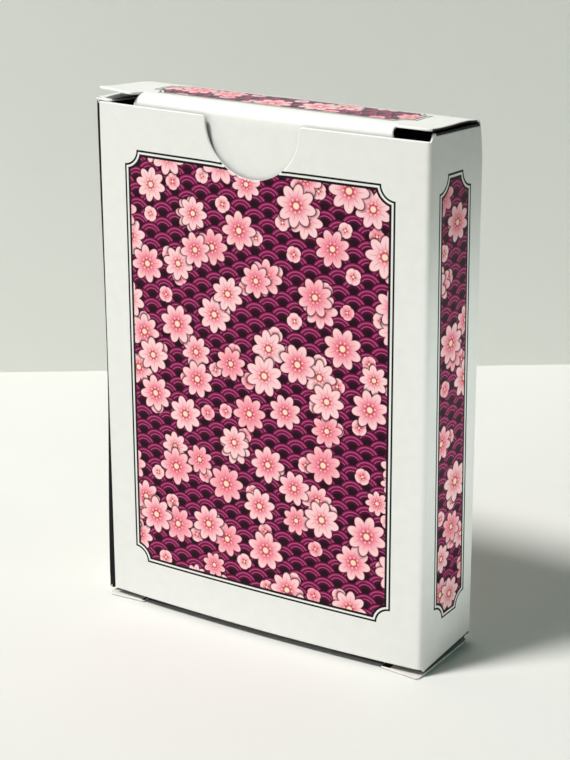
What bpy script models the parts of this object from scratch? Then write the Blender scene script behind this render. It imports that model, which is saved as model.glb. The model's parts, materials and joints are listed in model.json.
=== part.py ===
"""A deck of playing cards in its printed tuck case.

The case is a folded sheet of stiff board: four walls, a glue flap and two tucked ends, each end with a
panel, a tongue and two dust flaps that turn on their creases. The deck stands inside. The case stands on
its bottom panel, its front faces -Y, and the origin is under the middle of the case.
"""
import math
import random

import bmesh
import bpy
from mathutils import Euler, Vector

MM = 0.001
RIGHT_ANGLE = math.radians(90)

# Cards
CARD_WIDTH = 63.5 * MM
CARD_HEIGHT = 88.9 * MM
CARD_THICKNESS = 0.27 * MM
CARD_GAP = 0.006 * MM
CARD_CORNER_RADIUS = 3.2 * MM
CARD_EDGE_CHAMFER = 0.05 * MM
CARD_CORNER_STEPS = 5
SUITS = ("spades", "hearts", "clubs", "diamonds")
NUMBER_CARDS = 10
COURT_CARDS = 3
JOKERS = 2
SHUFFLE_SEED = 7

# Board and the gaps between its folded plates
BOARD = 0.40 * MM
CREASE_GAP = 0.02 * MM
GLUE_LINE = 0.03 * MM

# Room around the deck inside the case
SIDE_PLAY = 0.25 * MM
BACK_PLAY = 0.10 * MM
TONGUE_FRONT_PLAY = 0.12 * MM
TONGUE_BACK_PLAY = 0.35 * MM
DECK_SEAT_GAP = 0.05 * MM
HEAD_ROOM = 1.65 * MM

# Front panel
FRONT_EDGE_SETBACK = 0.80 * MM
FRONT_BOTTOM_RISE = 1.50 * MM
NOTCH_RADIUS = 9.20 * MM
NOTCH_SHOULDER_RADIUS = 0.70 * MM
NOTCH_SHIFT = -0.60 * MM
NOTCH_STEPS = 20
SHOULDER_STEPS = 4

# Glue flap
GLUE_FLAP_WIDTH = 11.0 * MM
GLUE_FLAP_END_INSET = 0.35 * MM
GLUE_FLAP_TAPER = math.radians(17)

# Tucked ends
LID_TILT = math.radians(5.6)
COVER_SIDE_INSET = 0.15 * MM
LID_FLAP_GAP = 0.10 * MM
BOTTOM_FLAP_GAP = 0.75 * MM
LID_BEND_RADIUS = 2.00 * MM
BOTTOM_BEND_RADIUS = 0.60 * MM
BEND_STEPS = 8
TONGUE_WIDTH = 50.0 * MM
TONGUE_LENGTH = 15.5 * MM
TONGUE_CORNER_RADIUS = 5.0 * MM
TONGUE_CORNER_STEPS = 6
TONGUE_SLIT = 0.15 * MM
LID_TONGUE_SHIFT = 0.50 * MM
BOTTOM_TONGUE_SHIFT = -0.50 * MM
FLAP_LENGTH = 14.0 * MM
FLAP_TONGUE_GAP = 0.15 * MM
FLAP_BACK_GAP = 0.40 * MM
FLAP_NECK = 0.60 * MM
FLAP_RELIEF = 3.40 * MM
FLAP_RELIEF_RUN = 1.40 * MM
FLAP_TAPER = math.radians(21)
FLAP_CORNER_RADIUS = 1.5 * MM
FLAP_CORNER_STEPS = 4

# Deck
CARD_COUNT = len(SUITS) * (NUMBER_CARDS + COURT_CARDS) + JOKERS
CARD_PITCH = CARD_THICKNESS + CARD_GAP
DECK_THICKNESS = CARD_COUNT * CARD_PITCH - CARD_GAP

# Depths, measured back from the outer face of the front panel
GLUE_FLAP_FACE = BOARD + GLUE_LINE
TONGUE_FACE = GLUE_FLAP_FACE + BOARD + TONGUE_FRONT_PLAY
DECK_FACE = TONGUE_FACE + BOARD + TONGUE_BACK_PLAY
CASE_DEPTH = DECK_FACE + DECK_THICKNESS + BACK_PLAY + BOARD
FLAP_FACE = TONGUE_FACE + BOARD + FLAP_TONGUE_GAP
FLAP_REAR = CASE_DEPTH - BOARD - FLAP_BACK_GAP

# Heights above the surface that the case stands on
BOTTOM_FLAP_LEVEL = BOARD + BOTTOM_FLAP_GAP
DECK_BASE = BOTTOM_FLAP_LEVEL + BOARD + DECK_SEAT_GAP
TOP_FLAP_LEVEL = DECK_BASE + CARD_HEIGHT + HEAD_ROOM + BOARD
LID_LEVEL = TOP_FLAP_LEVEL + LID_FLAP_GAP + BOARD

# Case width and the reach of each tucked end from its crease to the tongue and to the front face
CASE_WIDTH = CARD_WIDTH + 2 * (SIDE_PLAY + BOARD)
HALF_WIDTH = CASE_WIDTH / 2
TONGUE_REACH = CASE_DEPTH - TONGUE_FACE
FRONT_Y = -CASE_DEPTH / 2
BACK_Y = CASE_DEPTH / 2

# Colours
WHITE_BOARD = (0.84, 0.84, 0.81)
DARK_PRINT = (0.035, 0.025, 0.035)
CARD_STOCK = (0.90, 0.89, 0.86)


def clear_scene():
    for item in list(bpy.data.objects):
        bpy.data.objects.remove(item, do_unlink=True)


def add_material(thing, colour, roughness):
    """Give an object its own plain paper or board finish."""
    material = bpy.data.materials.new(thing.name)
    material.use_nodes = True
    shader = material.node_tree.nodes["Principled BSDF"]
    shader.inputs["Base Color"].default_value = (*colour, 1.0)
    shader.inputs["Roughness"].default_value = roughness
    shader.inputs["Metallic"].default_value = 0.0
    thing.data.materials.append(material)


def add_loft(name, loops, colour, roughness=0.55):
    """Make a closed solid through equal loops of points, capped at both ends."""
    shape = bmesh.new()
    rings = [[shape.verts.new(point) for point in loop] for loop in loops]
    count = len(rings[0])
    for ring, following in zip(rings, rings[1:]):
        for index in range(count):
            ahead = (index + 1) % count
            shape.faces.new((ring[index], ring[ahead], following[ahead], following[index]))
    shape.faces.new(rings[0])
    shape.faces.new(rings[-1])
    bmesh.ops.recalc_face_normals(shape, faces=shape.faces)
    mesh = bpy.data.meshes.new(name)
    shape.to_mesh(mesh)
    shape.free()
    thing = bpy.data.objects.new(name, mesh)
    bpy.context.collection.objects.link(thing)
    add_material(thing, colour, roughness)
    return thing


def add_plate(name, outer, inner, origin, across, along, outward, colour, turn=None):
    """Make a board plate from the outline of its printed face and that of its inner face.

    Outline points are (across, along) distances from the origin, which is on the plate's crease.
    """
    across, along, inward = Vector(across), Vector(along), -Vector(outward)
    faces = [
        [across * u + along * v for u, v in outer],
        [across * u + along * v + inward * BOARD for u, v in inner],
    ]
    plate = add_loft(name, faces, colour)
    plate.location = origin
    if turn:
        plate.rotation_euler = Euler(turn)
    return plate


def rectangle(left, right, low, high):
    return [(left, low), (right, low), (right, high), (left, high)]


def mitre(angle):
    """Setback of a plate's inner face from a crease where the board is folded to an inside angle."""
    return CREASE_GAP + BOARD / math.tan(angle / 2)


def arc(centre, radius, start, end, steps):
    """Points on an arc, both ends included, with angles in degrees."""
    points = []
    for step in range(steps + 1):
        angle = math.radians(start + (end - start) * step / steps)
        points.append((centre[0] + radius * math.cos(angle), centre[1] + radius * math.sin(angle)))
    return points


def front_outline(right):
    """Front panel outline in (x, z), with the thumb notch cut into its top edge."""
    left = -HALF_WIDTH + FRONT_EDGE_SETBACK
    shoulder = NOTCH_SHOULDER_RADIUS
    spread = NOTCH_RADIUS + shoulder
    shoulder_level = TOP_FLAP_LEVEL - shoulder
    right_shoulder = (NOTCH_SHIFT + spread, shoulder_level)
    left_shoulder = (NOTCH_SHIFT - spread, shoulder_level)
    points = [(left, FRONT_BOTTOM_RISE), (right, FRONT_BOTTOM_RISE), (right, TOP_FLAP_LEVEL)]
    points += arc(right_shoulder, shoulder, 90, 180, SHOULDER_STEPS)
    points += arc((NOTCH_SHIFT, shoulder_level), NOTCH_RADIUS, 0, -180, NOTCH_STEPS)[1:-1]
    points += arc(left_shoulder, shoulder, 0, 90, SHOULDER_STEPS)
    points.append((left, TOP_FLAP_LEVEL))
    return points


def add_walls():
    """Fixed walls of the case, mitred where they fold into their neighbours."""
    square = mitre(RIGHT_ANGLE)
    front = Vector((0, FRONT_Y, 0))
    add_plate("front_panel", front_outline(HALF_WIDTH - CREASE_GAP), front_outline(HALF_WIDTH - square),
              front, (1, 0, 0), (0, 0, 1), (0, -1, 0), WHITE_BOARD)

    def wall(edge, low, high):
        half = HALF_WIDTH - edge
        return rectangle(-half, half, low + edge, high - edge)

    add_plate("back_panel", wall(CREASE_GAP, 0, LID_LEVEL), wall(square, 0, LID_LEVEL),
              Vector((0, BACK_Y, 0)), (1, 0, 0), (0, 0, 1), (0, 1, 0), WHITE_BOARD)

    def side(edge, near):
        return rectangle(near + edge, CASE_DEPTH - edge, BOTTOM_FLAP_LEVEL + edge, TOP_FLAP_LEVEL - edge)

    for name, direction, near in (("left", -1, GLUE_FLAP_FACE), ("right", 1, 0)):
        add_plate(name + "_side_panel", side(CREASE_GAP, near), side(square, near),
                  front + Vector((direction * HALF_WIDTH, 0, 0)), (0, 1, 0), (0, 0, 1), (direction, 0, 0),
                  WHITE_BOARD)

    low = BOTTOM_FLAP_LEVEL + GLUE_FLAP_END_INSET
    high = TOP_FLAP_LEVEL - GLUE_FLAP_END_INSET
    drop = GLUE_FLAP_WIDTH * math.tan(GLUE_FLAP_TAPER)

    def glued(edge):
        return [(edge, low), (GLUE_FLAP_WIDTH, low + drop), (GLUE_FLAP_WIDTH, high - drop), (edge, high)]

    add_plate("glue_flap", glued(CREASE_GAP), glued(square),
              front + Vector((-HALF_WIDTH, GLUE_FLAP_FACE, 0)), (1, 0, 0), (0, 0, 1), (0, -1, 0), DARK_PRINT)


def cover_outline(edge, fold, shift, slope):
    """End panel outline in (x, distance from its crease), with a step at each end of its tongue."""
    half = HALF_WIDTH - COVER_SIDE_INSET
    shoulder = CASE_DEPTH / slope
    slit = TONGUE_WIDTH / 2 + TONGUE_SLIT
    return [
        (-half, edge), (half, edge), (half, shoulder), (shift + slit, shoulder),
        (shift + slit, fold), (shift - slit, fold), (shift - slit, shoulder), (-half, shoulder),
    ]


def add_tongue(name, crease, forward, outward, radius, turn, drop, shift, colour):
    """A cover's tongue: the board bends round from the cover's plane and runs flat to rounded corners.

    The crease is where the bend starts on the printed face, with the cover's own directions there.
    """
    half = TONGUE_WIDTH / 2
    corner = TONGUE_CORNER_RADIUS
    stations = []
    for step in range(BEND_STEPS + 1):
        angle = turn * step / BEND_STEPS
        normal = outward * math.cos(angle) + forward * math.sin(angle)
        stations.append((radius * (normal - outward), normal, half))
    bend_end = stations[-1][0]
    along = forward * math.cos(turn) - outward * math.sin(turn)
    for width, reach in arc((half - corner, drop - corner), corner, 0, 90, TONGUE_CORNER_STEPS):
        stations.append((bend_end + along * reach, normal, width))
    loops = []
    for point, face, width in stations:
        left = point + Vector((shift - width, 0, 0))
        right = point + Vector((shift + width, 0, 0))
        loops.append([left, right, right - face * BOARD, left - face * BOARD])
    tongue = add_loft(name, loops, colour)
    tongue.location = crease


def flap_outline(edge):
    """Dust flap outline in (distance from its crease, depth), narrowed towards its free end.

    Past a short neck its front edge is cut back to leave room for the tongue.
    """
    radius = FLAP_CORNER_RADIUS
    end_rear = FLAP_REAR - FLAP_LENGTH * math.tan(FLAP_TAPER)
    bend = math.degrees(FLAP_TAPER)
    rear_step = radius / math.cos(FLAP_TAPER) + radius * math.tan(FLAP_TAPER)
    front_edge = FLAP_FACE + FLAP_RELIEF
    near_corner = (FLAP_LENGTH - radius, front_edge + radius)
    rear_corner = (FLAP_LENGTH - radius, end_rear + 2 * radius * math.tan(FLAP_TAPER) - rear_step)
    points = [(edge, FLAP_FACE), (FLAP_NECK, FLAP_FACE), (FLAP_NECK + FLAP_RELIEF_RUN, front_edge)]
    points += arc(near_corner, radius, -90, 0, FLAP_CORNER_STEPS)
    points += arc(rear_corner, radius, 0, 90 - bend, FLAP_CORNER_STEPS)
    points.append((edge, FLAP_REAR - edge * math.tan(FLAP_TAPER)))
    return points


def add_end(end, level, flap_level, up, tilt, radius, shift, tongue_colour):
    """One tucked end: its cover, tongue and two dust flaps, with up as +1 at the top and -1 below."""
    slope = math.cos(tilt)
    turn = RIGHT_ANGLE + tilt
    tangent = radius * math.tan(turn / 2)
    fold = TONGUE_REACH / slope - tangent
    hinge = Vector((0, BACK_Y, level))
    forward = Vector((0, -slope, up * math.sin(tilt)))
    outward = Vector((0, math.sin(tilt), up * slope))
    cover = "lid" if up > 0 else "bottom"
    add_plate(f"{cover}_panel", cover_outline(CREASE_GAP, fold - CREASE_GAP, shift, slope),
              cover_outline(mitre(turn), fold - CREASE_GAP, shift, slope), hinge,
              (1, 0, 0), (0, -1, 0), (0, 0, up), WHITE_BOARD, (-up * tilt, 0, 0))
    add_tongue(f"{cover}_tongue", hinge + forward * fold, forward, outward, radius, turn,
               TONGUE_LENGTH - tangent, shift, tongue_colour)
    for side, direction in (("left", -1), ("right", 1)):
        add_plate(f"{end}_{side}_dust_flap", flap_outline(CREASE_GAP), flap_outline(mitre(RIGHT_ANGLE)),
                  Vector((direction * HALF_WIDTH, FRONT_Y, flap_level)), (-direction, 0, 0), (0, 1, 0),
                  (0, 0, up), DARK_PRINT)


def card_loop(inset, depth):
    """Rounded outline of a card in its own frame, drawn in by an inset, at a depth in the deck."""
    half = CARD_WIDTH / 2 - CARD_CORNER_RADIUS
    low = CARD_CORNER_RADIUS
    high = CARD_HEIGHT - CARD_CORNER_RADIUS
    radius = CARD_CORNER_RADIUS - inset
    corners = ((half, low, -90), (half, high, 0), (-half, high, 90), (-half, low, 180))
    loop = []
    for x, z, start in corners:
        for u, v in arc((x, z), radius, start, start + 90, CARD_CORNER_STEPS):
            loop.append((u, depth, v))
    return loop


def packet_loops(count):
    """Loops of one card, or of several pressed together with a groove between their edges."""
    loops = []
    for index in range(count):
        near = index * CARD_PITCH
        far = near + CARD_THICKNESS
        loops.append(card_loop(CARD_EDGE_CHAMFER, near))
        loops.append(card_loop(0, near + CARD_EDGE_CHAMFER))
        loops.append(card_loop(0, far - CARD_EDGE_CHAMFER))
        loops.append(card_loop(CARD_EDGE_CHAMFER, far))
    return loops


def deck_order():
    """Names and card counts from the front of the deck to its back."""
    order = [("joker_pair", JOKERS)]
    for suit in SUITS:
        order.append((f"{suit}_ace", 1))
        for number in range(2, NUMBER_CARDS + 1):
            order.append((f"{suit}_{number:02d}", 1))
        order.append((f"{suit}_court_cards", COURT_CARDS))
    return order


def add_deck():
    """Stand the cards in the case, each a little off centre within the play at its sides."""
    shuffle = random.Random(SHUFFLE_SEED)
    place = 0
    for name, count in deck_order():
        packet = add_loft(name, packet_loops(count), CARD_STOCK, 0.4)
        sway = shuffle.uniform(-0.5, 0.5) * SIDE_PLAY
        packet.location = (sway, FRONT_Y + DECK_FACE + place * CARD_PITCH, DECK_BASE)
        place += count


def main():
    clear_scene()
    add_walls()
    add_end("top", LID_LEVEL, TOP_FLAP_LEVEL, 1, LID_TILT, LID_BEND_RADIUS, LID_TONGUE_SHIFT, WHITE_BOARD)
    add_end("bottom", 0, BOTTOM_FLAP_LEVEL, -1, 0, BOTTOM_BEND_RADIUS, BOTTOM_TONGUE_SHIFT, DARK_PRINT)
    add_deck()


main()
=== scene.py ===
import json
import math

import bmesh
import bpy
from mathutils import Matrix, Vector
from mathutils.geometry import delaunay_2d_cdt


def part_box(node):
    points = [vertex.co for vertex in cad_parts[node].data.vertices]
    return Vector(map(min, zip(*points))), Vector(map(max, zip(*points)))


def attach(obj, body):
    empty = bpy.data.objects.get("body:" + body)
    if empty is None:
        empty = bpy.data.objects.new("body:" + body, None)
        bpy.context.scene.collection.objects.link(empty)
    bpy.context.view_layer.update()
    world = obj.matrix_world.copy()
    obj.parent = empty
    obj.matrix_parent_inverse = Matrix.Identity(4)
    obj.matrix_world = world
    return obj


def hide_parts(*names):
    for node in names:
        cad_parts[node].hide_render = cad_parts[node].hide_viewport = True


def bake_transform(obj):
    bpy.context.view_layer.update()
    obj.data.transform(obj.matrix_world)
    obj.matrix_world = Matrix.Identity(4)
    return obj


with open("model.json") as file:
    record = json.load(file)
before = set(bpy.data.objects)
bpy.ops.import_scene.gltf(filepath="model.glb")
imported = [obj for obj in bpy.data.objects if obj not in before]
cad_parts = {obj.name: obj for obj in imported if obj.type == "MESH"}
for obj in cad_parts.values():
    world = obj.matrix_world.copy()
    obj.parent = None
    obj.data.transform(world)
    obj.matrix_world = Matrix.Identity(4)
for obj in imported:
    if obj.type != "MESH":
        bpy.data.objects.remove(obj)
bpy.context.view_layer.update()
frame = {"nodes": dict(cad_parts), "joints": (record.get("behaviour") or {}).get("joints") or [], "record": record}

# A deck of playing cards in a printed tuck case. The case is folded board: each of its sheets is drawn
# flat, in distances u and v on the printed face, and is then folded along its creases. Lengths are in metres.

MM = 0.001

# Places that the frame gives
JOINTS = {joint["name"]: Vector(joint["pos_m"]) for joint in frame["joints"] if "pos_m" in joint}
FRONT_LOW, FRONT_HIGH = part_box("front_panel")
BOARD = FRONT_HIGH.y - FRONT_LOW.y
FRONT_Y = FRONT_LOW.y
BACK_Y = JOINTS["lid_hinge"].y
DEPTH = BACK_Y - FRONT_Y
HALF_WIDTH = JOINTS["top_right_flap_crease"].x
SIDE_TOP = JOINTS["top_right_flap_crease"].z
SIDE_BOTTOM = JOINTS["bottom_right_flap_crease"].z
GLUE_LOW, GLUE_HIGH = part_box("glue_flap")
FLAP_LOW, FLAP_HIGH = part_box("top_right_dust_flap")
FLAP_LENGTH = FLAP_HIGH.x - FLAP_LOW.x
COVER_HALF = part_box("lid_panel")[1].x
DECK_LOW, DECK_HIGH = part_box("joker_pair")

# Folds
WALL_FOLD = 0.95 * MM
LEFT_BACK_FOLD = 0.80 * MM
SEAM_FOLD = 0.30 * MM
HINGE_FOLD = 0.80 * MM
DARK_WRAP = 0.40 * MM
CREASE_REACH = 1.30 * MM
LID_BEND_RADIUS = 2.00 * MM
BOTTOM_BEND_RADIUS = 0.60 * MM
FOLD_STEPS = 7

# Mesh of the sheets
GRID = 3.0 * MM
GRID_CLEAR = 0.3 * MM
SHORTEST_SIDE = 0.02 * MM
RIM_BULGE = 0.04 * MM
RIM_LEVELS = (0.25, 0.75)
EDGE_EASE = 0.12 * MM
EDGE_CLEAR = 1.7 * EDGE_EASE
LOW_RISE_STEPS = 4

# Layout of the map named OFBake: the printed face, the inner face above it, and the rim on top
BAKE_MARGIN = 0.01
BAKE_WIDTH = 0.98
BAKE_FACE_HEIGHT = 0.46
BAKE_INNER_LEVEL = 0.49
BAKE_RIM_LEVEL = 0.97
BAKE_RIM_STEP = 0.005

# Cut edges of the walls
NOTCH_RADIUS = 9.20 * MM
NOTCH_SHIFT = -0.60 * MM
NOTCH_SHOULDER = 0.70 * MM
SEAM_SETBACK = 0.22 * MM
GLUE_TAPER = math.tan(math.radians(17))
FLAP_TAPER_DEGREES = 21
FLAP_TAPER = math.tan(math.radians(FLAP_TAPER_DEGREES))
FLAP_CORNER = 1.5 * MM
FLAP_CORNER_SET_IN = 0.8
FLAP_ROOT = 0.1 * MM
FLAP_FREE = 0.3 * MM
FLAP_BACK_ROOT = 0.5 * MM
FLAP_FRONT_EASE = 0.05 * MM
FLAP_NECK = 0.60 * MM
LONG_NECK = 3.20 * MM
LONG_NECK_FRONT = 0.10 * MM
FLAP_RELIEF = 3.40 * MM
FLAP_RELIEF_RUN = 1.40 * MM
CORNER_CLEAR = 0.80 * MM
SHOULDER_CHAMFER = 0.5 * MM
TONGUE_CORNER = 5.0 * MM
TONGUE_SLIT = 0.15 * MM
TONGUE_BITE = ((0.80, 0.52 * MM), (0.58, 0.62 * MM), (0.34, 0.50 * MM), (0.14, 0.26 * MM))

# Set that the board has taken
LID_BOW = 0.42 * MM
LID_BOW_PEAK = 27 / 4
LID_CURL = 0.50 * MM
LID_CURL_START = 0.2
SIDE_SPLAY = 0.62 * MM
SIDE_SPLAY_TOP = 0.20 * MM
SIDE_SPLAY_FADE = 5.0 * MM
SEAM_SPLAY_TOP = 0.73 * MM
SEAM_SPLAY_MIDDLE = 0.43 * MM
SEAM_SPLAY_BOTTOM = 1.43 * MM
FRONT_BULGE = 0.85 * MM
FOOT_BULGE_GAIN = 0.5
FOOT_BULGE_HEIGHT = 8.0 * MM
TONGUE_BULGE_SHARE = 0.9
TONGUE_BULGE_RUN = 0.25
TOP_LEFT_RISE = (0.65 * MM, 0.20 * MM)
TOP_RIGHT_RISE = (1.30 * MM, 0.20 * MM)
BOTTOM_RISE = (-0.65 * MM, 0.95 * MM)
FLAP_SPRING = -0.15 * MM
CREASE_FADE = 14.0 * MM
LOW_RISE_HOLD = 0.8 * MM
LOW_RISE_FADE = 1.8 * MM
TONGUE_SKEW = (-0.95 * MM, -0.30 * MM)
BOTTOM_LEFT_REACH = (1.00 * MM, 0.40 * MM)
BOTTOM_RIGHT_REACH = 0.80 * MM

# Printed frames: places on the walls, corner notches and the bands that run in from the edge
FRAME_HALF_WIDTH = 26.60 * MM
FRAME_SHIFT = -0.27 * MM
FRAME_LOW = 8.60 * MM
FRAME_HIGH = 85.06 * MM
SIDE_FRAME_HALF_WIDTH = 5.03 * MM
SIDE_FRAME_DEPTH = 8.32 * MM
SIDE_FRAME_LEAN = 0.0135
SIDE_FRAME_LOW = 8.70 * MM
SIDE_FRAME_HIGH = 86.04 * MM
LID_FRAME_DEPTH = 9.25 * MM
LID_FRAME_HALF_DEPTH = 5.39 * MM
LID_FRAME_HALF_WIDTH = 25.75 * MM
LID_FRAME_SHIFT = 0.45 * MM
FRAME_NOTCH = 2.60 * MM
OUTER_LINE = 0.34 * MM
LINE_GAP = 0.36 * MM
INNER_LINE = 0.42 * MM
INK_EDGE = 0.02 * MM
# Bare band along the bottom cover's inner sides, where the painted shade stops
PAINTED_SHADE_SIDE_MARGIN = 6.0 * MM
# How far in from the lid's sides its cut edges are painted dark as painted shade
CUT_PAINTED_SHADE_MARGIN = 0.1 * MM
LEFT_FLAP_DARK = 3.3 * MM
CARD_BORDER = 3.6 * MM

# Surface of the board and the cards
WALL_GLOSS = 0.12
COVER_GLOSS = 0.7
DARK_GLOSS = 0.1
INNER_GLOSS = 0.15
GRAIN_SCALE = 5200.0
SHEEN_SCALE = 260.0
FIBRE_SCALE = 2600.0
GRAIN_DEPTH = 0.006 * MM
FIBRE_DEPTH = 0.02 * MM
PULP_DEPTH = 0.03 * MM
CARD_TINTS = ((229, 226, 219), (207, 203, 195), (234, 231, 225))
CARD_SHADE = 5


def linear(red, green, blue):
    """Linear colour of a display colour given in steps of 255."""
    channels = []
    for value in (red, green, blue):
        share = value / 255
        channels.append(share / 12.92 if share <= 0.04045 else ((share + 0.055) / 1.055) ** 2.4)
    return (*channels, 1.0)


INK_BLACK = linear(20, 12, 18)
GROUND_DEEP = linear(30, 2, 20)
GROUND_PLUM = linear(140, 14, 80)
GROUND_MAUVE = linear(182, 84, 130)
PETAL_DEEP = linear(232, 92, 126)
PETAL_MID = linear(251, 166, 178)
PETAL_PALE = linear(255, 212, 214)
PETAL_LINE = linear(92, 14, 48)
CENTRE_PALE = linear(255, 226, 194)
CENTRE_DEEP = linear(222, 104, 104)
BOARD_WHITE = linear(239, 238, 234)
BOARD_SHADE = linear(236, 235, 231)
# Dark colour painted over the board's inner faces, with paler fibre patches: painted shade standing in for the
# shade inside the case and in its gaps
INNER_PAINTED_SHADE = linear(36, 28, 33)
INNER_PAINTED_SHADE_FIBRE = linear(46, 37, 43)
INNER_BOARD = linear(226, 220, 214)
INNER_SHADE = linear(219, 212, 206)
CUT_WHITE = linear(246, 245, 242)
CUT_SHADE = linear(226, 222, 214)
DARK_PRINT = linear(14, 10, 14)
DARK_PLUM = linear(52, 10, 32)
# Charcoal colour given to the bottom tongue past its bend
TONGUE_CHARCOAL = linear(36, 24, 36)
DARK_WORN = linear(120, 108, 112)


class Field:
    """A number that varies over a surface, worked out by shader nodes from plain arithmetic."""

    def __init__(self, tree, source):
        self.tree = tree
        self.source = source

    def math(self, operation, *others):
        node = self.tree.nodes.new("ShaderNodeMath")
        node.operation = operation
        for socket, value in zip(node.inputs, (self, *others)):
            if isinstance(value, Field):
                self.tree.links.new(value.source, socket)
            else:
                socket.default_value = value
        return Field(self.tree, node.outputs[0])

    def __add__(self, other):
        return self.math("ADD", other)

    def __sub__(self, other):
        return self.math("SUBTRACT", other)

    def __mul__(self, other):
        return self.math("MULTIPLY", other)

    def __truediv__(self, other):
        return self.math("DIVIDE", other)

    def __neg__(self):
        return self.math("MULTIPLY", -1.0)

    def __abs__(self):
        return self.math("ABSOLUTE")

    def least(self, other):
        return self.math("MINIMUM", other)

    def most(self, other):
        return self.math("MAXIMUM", other)

    def ramp(self, start, end):
        """Smooth step from 0 at start to 1 at end, rising or falling."""
        node = self.tree.nodes.new("ShaderNodeMapRange")
        node.interpolation_type = "SMOOTHSTEP"
        self.tree.links.new(self.source, node.inputs["Value"])
        node.inputs["From Min"].default_value = min(start, end)
        node.inputs["From Max"].default_value = max(start, end)
        node.inputs["To Min"].default_value = 0.0 if start < end else 1.0
        node.inputs["To Max"].default_value = 1.0 if start < end else 0.0
        return Field(self.tree, node.outputs["Result"])

    def past(self, level):
        """1 where the field is above a level and 0 below it, with a narrow soft edge."""
        return self.ramp(level - INK_EDGE, level + INK_EDGE)


def length(across, along):
    """Length of a vector from its two parts."""
    return (across * across + along * along).math("SQRT")


def mix(tree, share, first, second):
    """Colour that goes from the first to the second as the share goes from 0 to 1."""
    node = tree.nodes.new("ShaderNodeMix")
    node.data_type = "RGBA"
    inputs = {socket.identifier: socket for socket in node.inputs}
    for name, value in (("Factor_Float", share), ("A_Color", first), ("B_Color", second)):
        if isinstance(value, Field):
            tree.links.new(value.source, inputs[name])
        elif isinstance(value, bpy.types.NodeSocket):
            tree.links.new(value, inputs[name])
        else:
            inputs[name].default_value = value
    return next(socket for socket in node.outputs if socket.identifier == "Result_Color")


def parts_of(tree, vector):
    """The x, y and z of a vector socket, as fields."""
    node = tree.nodes.new("ShaderNodeSeparateXYZ")
    tree.links.new(vector, node.inputs["Vector"])
    return [Field(tree, socket) for socket in node.outputs]


def noise(tree, vector, scale, detail=2.0):
    node = tree.nodes.new("ShaderNodeTexNoise")
    node.inputs["Scale"].default_value = scale
    node.inputs["Detail"].default_value = detail
    tree.links.new(vector, node.inputs["Vector"])
    return Field(tree, node.outputs["Fac"])


def new_material(name, gloss=0.3):
    material = bpy.data.materials.new(name)
    material.use_nodes = True
    shader = material.node_tree.nodes["Principled BSDF"]
    shader.inputs["Specular IOR Level"].default_value = gloss
    return material, material.node_tree, shader


def finish_surface(tree, shader, colour, roughness, bump, depth):
    """Link a colour, a roughness field and a height field to a shader."""
    tree.links.new(colour, shader.inputs["Base Color"])
    tree.links.new(roughness.source, shader.inputs["Roughness"])
    node = tree.nodes.new("ShaderNodeBump")
    node.inputs["Distance"].default_value = depth
    node.inputs["Strength"].default_value = 1.0
    tree.links.new(bump.source, node.inputs["Height"])
    tree.links.new(node.outputs["Normal"], shader.inputs["Normal"])


def mix_shaders(tree, share, first, second, output):
    """Send an output the first shader where the share is 0 and the second where it is 1."""
    node = tree.nodes.new("ShaderNodeMixShader")
    for source, socket in zip((share, first.outputs[0], second.outputs[0]), node.inputs):
        tree.links.new(source, socket)
    tree.links.new(node.outputs[0], output.inputs["Surface"])


def flat_position(tree):
    """The flat place of a point on a folded sheet, as a vector socket and as the fields u and v."""
    node = tree.nodes.new("ShaderNodeUVMap")
    node.uv_map = "flat"
    u, v, _ = parts_of(tree, node.outputs["UV"])
    return node.outputs["UV"], u, v


SCALE_RADIUS = 2.7 * MM
SCALE_RISE = SCALE_RADIUS / 2
SCALE_ROWS = (1, 0, -1)

# Layers of flowers, from the ground up: cell, turn and shift of the cells, largest radius, number of petals
FLOWER_LAYERS = (
    (7.4 * MM, (0.9, 0.031, 0.017), 1.5 * MM, 4),
    (10.4 * MM, (0.35, 0.012, 0.053), 3.4 * MM, 8),
    (10.4 * MM, (-0.45, 0.077, 0.041), 3.8 * MM, 8),
)
FLOWER_SCATTER = 0.62
PETAL_MIDDLE = 0.60
PETAL_REACH = 0.40
PETAL_BREADTH = 0.60
HEART_RADIUS = 0.19
STAMEN_RADIUS = 0.30


def scale_ground(tree, u, v):
    """Rows of overlapping round scales with mauve arcs inside each rim, dark towards the root."""
    row = (v / SCALE_RISE).math("FLOOR")
    colour = GROUND_DEEP
    for step in SCALE_ROWS:
        level = row + float(step)
        shift = (level * 0.5).math("FRACT") * (2 * SCALE_RADIUS)
        across = (u + shift).math("PINGPONG", SCALE_RADIUS)
        reach = length(across, v - level * SCALE_RISE) / SCALE_RADIUS
        body = mix(tree, reach.ramp(0.25, 0.95), GROUND_DEEP, GROUND_PLUM)
        arcs = abs(reach - 0.80).ramp(0.045, 0.02).most(abs(reach - 0.58).ramp(0.04, 0.015))
        body = mix(tree, arcs, body, GROUND_MAUVE)
        body = mix(tree, reach.ramp(0.90, 0.94), body, GROUND_DEEP)
        colour = mix(tree, reach.ramp(1.0, 0.985), colour, body)
    return colour


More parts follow.
